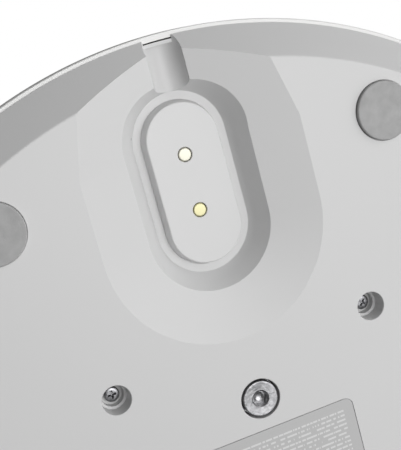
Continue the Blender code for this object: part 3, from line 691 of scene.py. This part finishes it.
def pocket_walls():
    """What stands inside the cover round the pocket, trimmed to the rim."""
    walls = apron(WALL * 0.8, WALL)
    cut(walls, loft("pocket_outside", [
        oval(POCKET_MOUTH_R + WALL, FLAT_Z + POCKET_MOUTH_DEPTH),
        oval(POCKET_FLOOR_R + WALL, POCKET_FLOOR_Z + WALL)]), "UNION")
    cut(walls, channel(CHANNEL_R + CHANNEL_WALL), "UNION")
    envelope = turned("envelope", [
        (0, FLAT_Z + 20 * MM), (SPIGOT_R - 0.05 * MM, FLAT_Z + 20 * MM),
        (SPIGOT_R - 0.05 * MM, RIM_Z - 1.4 * MM), (FLAT_R + 0.4 * MM, FLAT_Z + 0.5 * MM),
        (0, FLAT_Z + 0.5 * MM)], steps=360)
    return cut(walls, envelope, "INTERSECT")


def recess_cutters():
    """Every round recess of the underside in one mesh: screw wells, bolt bores and foot seats."""
    bm = bmesh.new()
    below = FLAT_Z - 2 * MM
    ledge = FLAT_Z + 6.4 * MM
    for at in WELLS:
        mouth = arc((WELL_MOUTH_R, FLAT_Z + 0.3 * MM), 0.3 * MM, 270, 180, 7)
        lathe(bm, [(0, below), (WELL_MOUTH_R, below), *mouth, (4.95 * MM, ledge),
                   (4.1 * MM, ledge + 0.25 * MM), (4.0 * MM, WELL_FLOOR_Z), (SCREW_HOLE_R, WELL_FLOOR_Z),
                   (SCREW_HOLE_R, WELL_FLOOR_Z + 4 * MM), (0, WELL_FLOOR_Z + 4 * MM)], at, 72)
    for at in BOLTS:
        mouth = arc((BORE_R + 0.25 * MM, FLAT_Z + 0.25 * MM), 0.25 * MM, 270, 180, 7)
        lathe(bm, [(0, below), (BORE_R + 0.25 * MM, below), *mouth, (BORE_R, FLAT_Z + 9 * MM),
                   (0, FLAT_Z + 9 * MM)], at, 96)
    seat = FOOT_R + 0.25 * MM
    for at in FEET:
        lathe(bm, [(0, below), (seat + 0.15 * MM, below), (seat + 0.15 * MM, FLAT_Z),
                   (seat, FLAT_Z + 0.15 * MM), (seat, FLAT_Z + 1.1 * MM), (0, FLAT_Z + 1.1 * MM)], at, 96)
    return shaped("recesses", bm)


def rounded_rectangle(name, low, high, grow, bottom, top, radius=3 * MM, steps=8):
    """An upright solid with the outline of a box from above, grown outwards, with rounded corners."""
    points = []
    for right, far, start in ((1, 1, 0), (0, 1, 90), (0, 0, 180), (1, 0, 270)):
        cx = high.x - radius if right else low.x + radius
        cy = high.y - radius if far else low.y + radius
        for i in range(steps + 1):
            turn = math.radians(start + 90 * i / steps)
            points.append((cx + (radius + grow) * math.cos(turn), cy + (radius + grow) * math.sin(turn)))
    return loft(name, [[(x, y, z) for x, y in points] for z in (bottom, top)])


def lower_cover():
    """The moulded underside with its dished pocket, channel and recesses."""
    inner_r = FLANK_R - 3.85 * MM
    corner = 1.2 * MM
    flat_edge = arc((FLAT_R - corner * math.tan(math.radians(22.5)), FLAT_Z + corner), corner, -45, -90, 4)
    cover = turned("underside_cover", [
        (0, FLAT_Z + WALL), (FLAT_R - WALL * 0.6, FLAT_Z + WALL), (inner_r, RIM_Z), (inner_r, SPIGOT_TOP),
        (SPIGOT_R, SPIGOT_TOP), (SPIGOT_R, RIM_Z), (FLANK_R - 0.3 * MM, RIM_Z), (FLANK_R, RIM_Z - 0.2 * MM),
        *flat_edge, (0, FLAT_Z)], steps=360)
    bm = bmesh.new()
    for at in WELLS:
        lathe(bm, [(0, FLAT_Z + MM), (WELL_TUBE_R, FLAT_Z + MM), (WELL_TUBE_R, WELL_FLOOR_Z + 2 * MM),
                   (0, WELL_FLOOR_Z + 2 * MM)], at, 48)
    for at in BOLTS:
        lathe(bm, [(0, FLAT_Z + MM), (SLEEVE_R, FLAT_Z + MM), (SLEEVE_R, SLEEVE_TOP),
                   (0, SLEEVE_TOP)], at, 48)
    cut(cover, shaped("posts", bm), "UNION")
    cut(cover, pocket_walls(), "UNION")
    cut(cover, apron(0, 0))
    run = (POCKET_MOUTH_R - POCKET_FLOOR_R) / (POCKET_FLOOR_Z - FLAT_Z - POCKET_MOUTH_DEPTH)
    toe = 0.3 * MM
    cut(cover, loft("pocket", [
        oval(POCKET_FLOOR_R + run * (POCKET_FLOOR_Z - FLAT_Z + 4 * MM), FLAT_Z - 4 * MM),
        oval(POCKET_FLOOR_R + run * toe, POCKET_FLOOR_Z - toe),
        oval(POCKET_FLOOR_R + run * toe * 0.3, POCKET_FLOOR_Z - toe * 0.35),
        oval(POCKET_FLOOR_R - 0.1 * MM, POCKET_FLOOR_Z)]))
    cut(cover, cut(channel(CHANNEL_R), rim_kept()))
    cut(cover, loft("block_opening", [
        oval(BLOCK_ROOT_R + 0.05 * MM, z) for z in (FLAT_Z, SPIGOT_TOP + 9 * MM)]))
    cut(cover, recess_cutters())
    cut(cover, rounded_rectangle("label_seat", LABEL_LOW, LABEL_HIGH, 0.3 * MM, 0, FLAT_Z + 0.5 * MM))

    def on_pocket_edge(point):
        depth = point.z - FLAT_Z
        return abs(point.x) < 30 * MM and point.y > 75 * MM and 2 * MM < depth < 11.5 * MM \
            and point.xy.length < FLAT_R + depth + 0.3 * MM
    round_edges(cover, 0.35 * MM, on_pocket_edge)
    smooth(cover, 13.5)
    return dress(cover, SATIN_WHITE, ["lower_cover"])


def upper_shell():
    """The polished upper shell: low crown, rounded edge and a thin lip round the underside."""
    shell_wall = 2.3 * MM
    edge_r = 7 * MM
    side_top = SHELL_SIDE_TOP
    low = RIM_Z + 0.3 * MM
    corner = SHELL_R - edge_r
    hole = SHELL_HOLE_R
    crown = [(60 * MM, 34.1 * MM), (110 * MM, 31.9 * MM), (140 * MM, 29.6 * MM)]
    top = [(hole, 34.6 * MM), (hole + 0.3 * MM, 34.9 * MM), *crown,
           (corner - 4 * MM, side_top + edge_r * 0.98)]
    lip = arc((SHELL_R - 0.4 * MM, low + 0.4 * MM), 0.4 * MM, 0, -90, 3)
    inner = SHELL_R - shell_wall
    outline = [*top, *arc((corner, side_top), edge_r, 75, 0, 12), *lip, (inner, low), (inner, side_top),
               (corner - MM, side_top + edge_r - shell_wall)]
    outline += [(r, z - shell_wall) for r, z in reversed(crown)] + [(hole, 34.9 * MM - shell_wall)]
    shell = turned("top_shell", outline, steps=360, closed=True, sharp=30)
    bm = bmesh.new()
    for at in WELLS:
        lathe(bm, [(SCREW_HOLE_R, WELL_FLOOR_Z + 2.3 * MM), (4 * MM, WELL_FLOOR_Z + 2.3 * MM),
                   (4 * MM, 33 * MM), (SCREW_HOLE_R, 33 * MM)], at, 32, closed=True)
    cut(shell, shaped("posts", bm), "UNION")
    smooth(shell, 30)
    return dress(shell, SHELL_WHITE, ["upper_shell"])


def rubber_feet(tree):
    """Six discs with a rounded edge and a shallow dished face."""
    top = FOOT_HIGH.z
    edge = 0.45 * MM
    outline = [(0, top), (FOOT_R, top), *arc((FOOT_R - edge, edge), edge, 0, -90, 4),
               (FOOT_R - 1.4 * MM, 0.0), (FOOT_R - 1.7 * MM, 0.12 * MM), (0, 0.14 * MM)]
    master = turned("foot_master", outline, steps=96)
    feet = repeat("rubber_feet", master, FEET, 1.1, FOOT_RUBBER, tree)
    return dress(feet, FOOT_RUBBER, [f"foot_{i + 1}" for i in range(6)])


def hexagon(flats, low, high):
    """A hexagonal key hole, as a cutter."""
    bm = bmesh.new()
    radius = flats / 2 / math.cos(math.pi / 6)
    rings = [[bm.verts.new((radius * math.cos(math.pi * i / 3), radius * math.sin(math.pi * i / 3), z))
              for i in range(6)] for z in (low, high)]
    for i in range(6):
        j = (i + 1) % 6
        bm.faces.new((rings[0][i], rings[0][j], rings[1][j], rings[1][i]))
    bm.faces.new(rings[0])
    bm.faces.new(rings[1])
    return shaped("key", bm)


def pole_bolts(tree):
    """Low socket-head bolts: rolled edge, turned chamfer round the hexagon and a drill point below it."""
    head_r = (BOLT_HIGH.x - BOLT_LOW.x) / 2
    head_top = FLAT_Z + 5 * MM
    shank_r = BOLT_SHANK_R
    edge = 0.45 * MM
    outline = [(0, BOLT_HIGH.z), (shank_r - 0.5 * MM, BOLT_HIGH.z), (shank_r, BOLT_HIGH.z - 0.5 * MM),
               (shank_r, head_top), (head_r, head_top),
               *arc((head_r - edge, FLAT_Z + edge), edge, 0, -90, 5),
               (head_r - 0.9 * MM, FLAT_Z + 0.06 * MM), (3.5 * MM, FLAT_Z + 0.1 * MM),
               (0, FLAT_Z + 0.1 * MM)]
    master = turned("bolt_master", outline, steps=96)
    low = FLAT_Z - MM
    cut(master, turned("mouth", [(0, low), (4.35 * MM, low), (2.55 * MM, FLAT_Z + 0.75 * MM),
                                 (0, FLAT_Z + 0.75 * MM)], steps=96))
    cut(master, hexagon(BOLT_KEY, low, FLAT_Z + 2.7 * MM))
    cut(master, turned("drill", [(0, low), (1.9 * MM, low), (1.9 * MM, FLAT_Z + 2.9 * MM),
                                 (0, FLAT_Z + 3.9 * MM)], steps=48))
    bolts = repeat("pole_bolts", master, BOLTS, 0.35, BOLT_STEEL, tree, sharp=20)
    return dress(bolts, BOLT_STEEL, [f"pole_bolt_{i + 1}" for i in range(3)])


def cover_screws(tree):
    """Pan-head screws with a tapered cross recess and a rolled thread."""
    head_z = SCREW_LOW.z
    head_r = (SCREW_HIGH.x - SCREW_LOW.x) / 2
    head_h = head_r * 0.72
    tip = SCREW_HIGH.z
    outline = [(0, tip), (0.4 * MM, tip)]
    turns = int((tip - head_z - head_h - 1 * MM) / (0.5 * MM))
    for i in range(turns):
        z = tip - 0.6 * MM - 0.5 * MM * i
        outline += [(1.18 * MM, z), (1.5 * MM, z - 0.25 * MM)]
    outline += [(1.18 * MM, head_z + head_h), (head_r - 0.15 * MM, head_z + head_h),
                *arc((head_r - 0.75 * MM, head_z + 0.75 * MM), 0.75 * MM, 0, -70, 6),
                (head_r * 0.5, head_z + 0.02 * MM), (0, head_z)]
    master = turned("screw_master", outline, steps=48)
    mouth = (head_z - 0.5 * MM, 1.8 * MM, 0.44 * MM)
    bottom = (head_z + 1.3 * MM, 0.75 * MM, 0.2 * MM)
    for quarter in (0, 1):
        sections = []
        for z, reach, thick in (mouth, bottom):
            box = [(-reach, -thick), (reach, -thick), (reach, thick), (-reach, thick)]
            sections.append([(x, y, z) if quarter == 0 else (-y, x, z) for x, y in box])
        cut(master, loft("slot", sections))
    screws = repeat("cover_screws", master, WELLS, 0.7, SCREW_STEEL, tree, sharp=28)
    return dress(screws, SCREW_STEEL, [f"cover_screw_{i + 1}" for i in range(4)])


# Power inlet ------------------------------------------------------------------------------------

def contact_block():
    """The raised platform with rounded edges, and the plate behind it."""
    root = POCKET_FLOOR_Z
    plate_top = BLOCK_HIGH.z
    plate_low = plate_top - 2 * MM
    fillet = 0.5 * MM
    sections = [oval(BLOCK_FACE_R - fillet + fillet * math.sin(a), FACE_Z + fillet - fillet * math.cos(a))
                for a in [math.radians(18 * i) for i in range(5)]]
    sections += [oval(BLOCK_ROOT_R, root), oval(BLOCK_ROOT_R, plate_low + MM)]
    body = loft("contact_platform", sections)
    cut(body, loft("plate", [oval(BLOCK_PLATE_R, z) for z in (plate_low, plate_top)]), "UNION")
    half_x, half_y = BLOCK_HIGH.x, BLOCK_EAR_HALF_Y
    ears = [(-half_x, -half_y), (half_x, -half_y), (half_x, half_y), (-half_x, half_y)]
    cut(body, loft("ears", [[(x, POCKET_Y + y, z) for x, y in ears] for z in (plate_low, plate_top)]),
        "UNION")
    bm = bmesh.new()
    for at in CONTACTS.values():
        hole = CONTACT_HOLE_R
        cavity = CONTACT_COLLAR_R + 0.6 * MM
        lathe(bm, [(0, FACE_Z - MM), (hole + 0.2 * MM, FACE_Z - MM), (hole + 0.2 * MM, FACE_Z),
                   (hole, FACE_Z + 0.2 * MM), (hole, FACE_Z + 2.6 * MM), (cavity, FACE_Z + 2.6 * MM),
                   (cavity, plate_top + MM), (0, plate_top + MM)], at, 64)
    for sx in (-1, 1):
        for sy in (-1, 1):
            lathe(bm, [(0, plate_low - MM), (BLOCK_SCREW_HOLE_R, plate_low - MM),
                       (BLOCK_SCREW_HOLE_R, plate_top + MM), (0, plate_top + MM)],
                  (sx * BLOCK_SCREW_X, POCKET_Y + sy * BLOCK_SCREW_Y), 24)
        for start, radius, at in (
                (FACE_Z + MAGNET_SKIN, MAGNET_HOLE_R, (0, POCKET_Y + sx * MAGNET_OFFSET)),
                (plate_top - 6 * MM, BOARD_PILOT_R, (sx * BOARD_SCREW_X, POCKET_Y))):
            lathe(bm, [(0, start), (radius, start), (radius, plate_top + MM), (0, plate_top + MM)], at, 32)
    cut(body, shaped("holes", bm))
    smooth(body, 24)
    return dress(body, BLOCK_WHITE, ["contact_block"])


def contacts():
    """Gold plated contact discs with a rounded rim, each on its own sprung pin. Both are the same plating:
    the outer disc's near-white tint is a painted reflection.
    """
    for name, at in CONTACTS.items():
        low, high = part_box(f"contact_pin_{name}")
        rim = 0.35 * MM
        collar = low.z + CONTACT_LENGTH
        outline = [(0, high.z), (0.7 * MM, high.z), (0.9 * MM, high.z - 0.2 * MM), (0.9 * MM, collar + MM),
                   (CONTACT_COLLAR_R, collar + MM), (CONTACT_COLLAR_R, collar), (CONTACT_R, collar),
                   *arc((CONTACT_R - rim, low.z + rim), rim, 0, -90, 6), (0, low.z + 0.02 * MM)]
        pin = turned(f"sprung_contact_{name}", outline, steps=96, at=at)
        # The outer disc's near-white tint is a painted reflection; the inner disc's pale yellow is the
        # gold's own colour.
        gold = finish(f"Gold Plated Contact {name.title()}", CONTACT_TINTS_WITH_PAINTED_REFLECTION[name], 0.5, TURNING,
                      {"Axis X": at[0], "Axis Y": at[1], "Pitch": 26000},
                      metallic=0.35, bump=0.1, distance=0.01)
        dress(pin, gold, [f"contact_pin_{name}"], f"contact_{name}")


def coil_springs():
    """The springs behind the contacts, as plain copies of their nodes' meshes."""
    for name, at in CONTACTS.items():
        node = f"contact_spring_{name}"
        coil = bpy.data.objects.new(f"coil_spring_{name}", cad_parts[node].data.copy())
        bpy.context.scene.collection.objects.link(coil)
        dress(coil, SPRING, [node])
        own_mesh(coil)


def rating_label():
    """The film of the label, with rounded corners."""
    label = rounded_rectangle("rating_film", LABEL_LOW, LABEL_HIGH, 0, LABEL_LOW.z, LABEL_HIGH.z)
    return dress(label, label_film(), ["rating_label"])


# Pole mounting ----------------------------------------------------------------------------------

def pole_socket():
    """Machined flange and tube for the pole, with chamfered rims."""
    tube_r, bore, base_r, hole = 22.8 * MM, 17.6 * MM, 48 * MM, 7.8 * MM
    low, top = FLANGE_LOW.z, FLANGE_HIGH.z
    step = low + 5 * MM
    rim = 0.6 * MM
    outline = [(bore + rim, top), (tube_r - rim, top), (tube_r, top - rim), (tube_r, step + MM),
               (tube_r + MM, step), (base_r - rim, step), (base_r, step - rim), (base_r, low),
               (hole, low), (hole, step), (bore, step), (bore, top - rim)]
    flange = turned("pole_socket", outline, steps=128, closed=True)
    bm = bmesh.new()
    for at in BOLTS:
        lathe(bm, [(0, low - MM), (4.3 * MM, low - MM), (4.3 * MM, step + MM), (0, step + MM)], at, 48)
    cut(flange, shaped("holes", bm))
    smooth(flange, 24)
    return dress(flange, ALUMINIUM, ["pole_flange"])


def collar_ring():
    """Trim ring round the pole socket with a soft shoulder."""
    bore = 23.4 * MM
    neck = 25.9 * MM
    seat, top, outer = 35.2 * MM, RING_HIGH.z, RING_HIGH.x
    shoulder = 1.8 * MM
    outline = [(bore + 0.4 * MM, top), *arc((outer - shoulder, top - shoulder), shoulder, 90, 0, 8),
               (outer, seat), (neck, seat), (neck, RING_LOW.z), (bore, RING_LOW.z), (bore, top - 0.4 * MM)]
    ring = turned("collar_ring", outline, steps=192, closed=True)
    return dress(ring, SATIN_WHITE, ["trim_collar"])


def connector():
    """Connector body in the bottom of the socket, with its two round pins."""
    low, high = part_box("pole_connector")
    radius, flange_r = 7.5 * MM, high.x
    rest = high.z - 10 * MM
    body = turned("connector_body", [
        (0, high.z), (radius - 0.5 * MM, high.z), (radius, high.z - 0.5 * MM), (radius, rest + 2 * MM),
        (flange_r - 0.4 * MM, rest + 2 * MM), (flange_r, rest + 1.6 * MM), (flange_r, rest),
        (radius - 0.3 * MM, rest), (radius - 0.3 * MM, low.z), (0, low.z)], steps=96)
    bm = bmesh.new()
    for side in ("left", "right"):
        pin_low, pin_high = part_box(f"power_pin_{side}")
        at = ((pin_low.x + pin_high.x) / 2, (pin_low.y + pin_high.y) / 2)
        lathe(bm, [(0, rest + 3 * MM), (1.3 * MM, rest + 3 * MM), (1.3 * MM, high.z + MM),
                   (0, high.z + MM)], at, 32)
        pin = turned(f"socket_pin_{side}", [
            (0, pin_high.z), (0.5 * MM, pin_high.z - 0.1 * MM), (1 * MM, pin_high.z - 0.9 * MM),
            (1 * MM, pin_low.z), (0, pin_low.z)], steps=32, at=at)
        dress(pin, GOLD, [f"power_pin_{side}"])
    cut(body, shaped("holes", bm))
    smooth(body, 24)
    return dress(body, BLACK, ["pole_connector"])


def coat_inner_nodes():
    """Finishes for the nodes inside the base, whose shapes stay as they are."""
    finishes = {"ballast_plate": PLATE, "contact_board": LAMINATE, "contact_block_seal": SEAL,
                "wire_clip": NYLON, "supply_wire_positive": RED_WIRE, "supply_wire_negative": BLACK_WIRE}
    for i in (1, 2):
        finishes[f"magnet_{i}"] = NICKEL
        finishes[f"board_screw_{i}"] = SCREW_STEEL
    for i in range(1, 5):
        finishes[f"block_screw_{i}"] = SCREW_STEEL
    for i in range(1, 4):
        finishes[f"bolt_washer_{i}"] = BOLT_STEEL
    for name, material in finishes.items():
        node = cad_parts[name]
        node.data.materials.clear()
        node.data.materials.append(material)


REPEAT = repeat_tree()
lower_cover()
upper_shell()
rubber_feet(REPEAT)
pole_bolts(REPEAT)
cover_screws(REPEAT)
contact_block()
contacts()
coil_springs()
rating_label()
pole_socket()
collar_ring()
connector()
coat_inner_nodes()

bpy.context.scene.view_settings.view_transform = "Standard"
